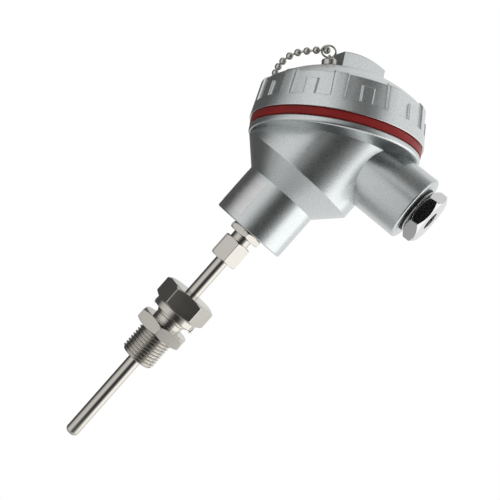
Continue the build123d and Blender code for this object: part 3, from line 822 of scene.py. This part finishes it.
def make_camera():
    """The photograph's view: level with the casting, turned so that the probe points down left."""
    data = bpy.data.cameras.new("camera")
    data.sensor_width = CAMERA_FILM
    data.lens = settings("studio").focal_length
    data.clip_start = CAMERA_NEAR
    data.clip_end = CAMERA_FAR
    ahead = (CAMERA_TARGET - CAMERA_PLACE).normalized()
    level = ahead.cross(Vector((0.0, 0.0, 1.0))).normalized()
    right = math.cos(CAMERA_ROLL) * level + math.sin(CAMERA_ROLL) * level.cross(ahead)
    up = right.cross(ahead)
    camera = new_object("camera", data)
    turn = Matrix((right, up, -ahead)).transposed()
    camera.matrix_world = Matrix.Translation(CAMERA_PLACE) @ turn.to_4x4()
    bpy.context.scene.camera = camera


def face_object(item, azimuth, elevation, distance, front):
    """Places an item at an azimuth and elevation round the object's middle, facing it."""
    a = math.radians(azimuth)
    e = math.radians(elevation)
    way = Vector((math.sin(a) * math.cos(e), -math.cos(a) * math.cos(e), math.sin(e)))
    item.location = STAGE_MIDDLE + distance * way
    item.rotation_mode = "QUATERNION"
    item.rotation_quaternion = (STAGE_MIDDLE - item.location).to_track_quat(front, "Y")


def make_lamp(name, azimuth, elevation, distance, width, height, level, reflected):
    """A soft box that faces the object; its level is what white looks like in a mirror."""
    data = bpy.data.lights.new(name, "AREA")
    data.shape = "RECTANGLE"
    data.size = width
    data.size_y = height
    data.energy = level * math.pi * width * height
    lamp = new_object(name, data)
    face_object(lamp, azimuth, elevation, distance, "-Z")
    lamp.visible_glossy = reflected


def seen_by_reflections_only(item):
    item.visible_camera = False
    item.visible_diffuse = False
    item.visible_transmission = False
    item.visible_volume_scatter = False
    item.visible_shadow = False


def gauze_ramp(nodes, turn, shares):
    """A band of the gauze: its share at each azimuth, with a whole turn as one."""
    node = nodes.add("ShaderNodeValToRGB", {"Fac": turn})
    elements = node.color_ramp.elements
    while len(elements) > 1:
        elements.remove(elements[0])
    for index, (azimuth, share) in enumerate(shares):
        place = (azimuth + 180.0) / 360.0
        element = elements.new(place) if index else elements[0]
        element.position = place
        element.color = grey(share)
    return node.outputs["Color"]


def gauze_material():
    """Gauze that darkens the white room by direction, in bands round the object."""
    material = bpy.data.materials.new("grey_gauze")
    nodes = Nodes(emptied_tree(material))
    place = nodes.add("ShaderNodeTexCoord").outputs["Object"]
    unit = nodes.add("ShaderNodeVectorMath", {0: place}, operation="NORMALIZE")
    parts = nodes.add("ShaderNodeSeparateXYZ", {0: unit.outputs["Vector"]}).outputs
    angle = nodes.math("ARCTAN2", parts["X"], nodes.math("MULTIPLY", parts["Y"], -1.0))
    turn = nodes.math("MULTIPLY_ADD", angle, 1.0 / math.tau, 0.5)

    def between(heights, below, above):
        step = nodes.add(
            "ShaderNodeMapRange",
            {"Value": parts["Z"], "From Min": heights[0], "From Max": heights[1]},
            interpolation_type="SMOOTHSTEP")
        return nodes.blend(step.outputs["Result"], below, above)

    belt, upper, lower = (
        gauze_ramp(nodes, turn, shares) for shares in (GAUZE_BELT, GAUZE_UPPER, GAUZE_LOWER))
    share = between(BELT_TO_UPPER, belt, upper)
    share = between(LOWER_TO_BELT, lower, share)
    share = between(BOTTOM_TO_LOWER, grey(GAUZE_BOTTOM), share)
    share = between(UPPER_TO_TOP, share, grey(GAUZE_TOP))
    veil = nodes.add("ShaderNodeBsdfTransparent", {"Color": share})
    nodes.add("ShaderNodeOutputMaterial", {"Surface": veil.outputs["BSDF"]})
    return material


def make_gauze():
    """A dome of grey gauze that only reflections see."""
    work = bmesh.new()
    bmesh.ops.create_icosphere(work, subdivisions=4, radius=GAUZE_RADIUS)
    gauze = new_object("gauze", mesh_of(work, "gauze"))
    gauze.location = STAGE_MIDDLE
    seen_by_reflections_only(gauze)
    coat(gauze, gauze_material())


def make_dark_disc():
    """A small black disc in front and above, placed for a flat of the cable gland's nut."""
    work = bmesh.new()
    bmesh.ops.create_circle(work, cap_ends=True, segments=32, radius=DISC_RADIUS)
    disc = new_object("dark_lens", mesh_of(work, "dark_lens"))
    face_object(disc, *DISC_PLACE, "Z")
    seen_by_reflections_only(disc)
    coat(disc, Shader("dark_lens").finish(grey(0.01), 0.0, 1.0))


def seen_rays(nodes):
    """One where a camera, glossy or transmitted ray looks, otherwise nought."""
    path = nodes.add("ShaderNodeLightPath").outputs
    direct = nodes.math("MAXIMUM", path["Is Camera Ray"], path["Is Glossy Ray"])
    return nodes.math("MAXIMUM", direct, path["Is Transmission Ray"])


def make_world():
    studio = settings("studio")
    world = bpy.data.worlds.new("studio")
    nodes = Nodes(emptied_tree(world))
    ambient = nodes.add("ShaderNodeBackground", {"Strength": studio.ambient_level})
    seen = nodes.add("ShaderNodeBackground", {"Color": grey(studio.background_level)})
    mix = nodes.add("ShaderNodeMixShader", {
        "Fac": seen_rays(nodes), 1: ambient.outputs["Background"],
        2: seen.outputs["Background"]})
    nodes.add("ShaderNodeOutputWorld", {"Surface": mix.outputs["Shader"]})
    bpy.context.scene.world = world


def make_floor():
    """A pale floor below the object that keeps its shadow and glows white to the camera."""
    work = bmesh.new()
    bmesh.ops.create_grid(work, x_segments=1, y_segments=1, size=FLOOR_SIZE)
    mesh = mesh_of(work, "floor")
    mesh.transform(Matrix.Translation((0.0, 0.0, cad_bounds[0].z - FLOOR_DROP)))
    floor = new_object("floor", mesh)
    material = bpy.data.materials.new("pale_floor")
    nodes = Nodes(emptied_tree(material))
    matt = nodes.add("ShaderNodeBsdfDiffuse", {"Color": grey(FLOOR_GREY)})
    glow = nodes.add("ShaderNodeEmission", {"Strength": FLOOR_GLOW})
    mix = nodes.add("ShaderNodeMixShader", {
        "Fac": nodes.math("MULTIPLY", seen_rays(nodes), FLOOR_GLOW_SHARE),
        1: matt.outputs["BSDF"], 2: glow.outputs["Emission"]})
    nodes.add("ShaderNodeOutputMaterial", {"Surface": mix.outputs["Shader"]})
    coat(floor, material)


class SENSOR_OT_stage(bpy.types.Operator):
    """Sets the camera, the background, the floor, the gauze, the dark disc and the soft boxes"""
    bl_idname = "sensor.stage"
    bl_label = "Studio"

    def execute(self, context):
        context.scene.view_settings.view_transform = "Standard"
        make_camera()
        make_world()
        make_floor()
        make_gauze()
        make_dark_disc()
        for name, values in SOFT_BOXES.items():
            make_lamp(name, *values)
        return {"FINISHED"}


class SENSOR_PT_panel(bpy.types.Panel):
    """Lists the steps that dress the thermometer"""
    bl_label = "Thermometer"
    bl_idname = "SENSOR_PT_panel"
    bl_space_type = "VIEW_3D"
    bl_region_type = "UI"
    bl_category = "Thermometer"

    def draw(self, context):
        column = self.layout.column()
        for group in GROUPS:
            owner = settings(group)
            box = column.box()
            for name in owner.bl_rna.properties.keys():
                if name not in ("rna_type", "name"):
                    box.prop(owner, name)
        for step in STEPS:
            column.operator(step.bl_idname)


GROUPS = {
    "head_finish": HeadSettings,
    "stem_finish": StemSettings,
    "chain_finish": ChainSettings,
    "studio": StudioSettings,
}
STEPS = (
    SENSOR_OT_stage,
    SENSOR_OT_casting,
    SENSOR_OT_stem,
    SENSOR_OT_fitting,
    SENSOR_OT_chain,
    SENSOR_OT_gland,
    SENSOR_OT_terminals,
    SENSOR_OT_label,
)


def register():
    for name, group in GROUPS.items():
        bpy.utils.register_class(group)
        setattr(bpy.types.Scene, name, bpy.props.PointerProperty(type=group))
    for step in STEPS:
        bpy.utils.register_class(step)
    bpy.utils.register_class(SENSOR_PT_panel)


def unregister():
    bpy.utils.unregister_class(SENSOR_PT_panel)
    for step in reversed(STEPS):
        bpy.utils.unregister_class(step)
    for name, group in GROUPS.items():
        delattr(bpy.types.Scene, name)
        bpy.utils.unregister_class(group)


def main():
    register()
    bpy.ops.sensor.stage()
    bpy.ops.sensor.casting()
    bpy.ops.sensor.stem()
    bpy.ops.sensor.fitting()
    bpy.ops.sensor.chain()
    bpy.ops.sensor.gland()
    bpy.ops.sensor.terminals()
    bpy.ops.sensor.label()


if __name__ == "__main__":
    main()
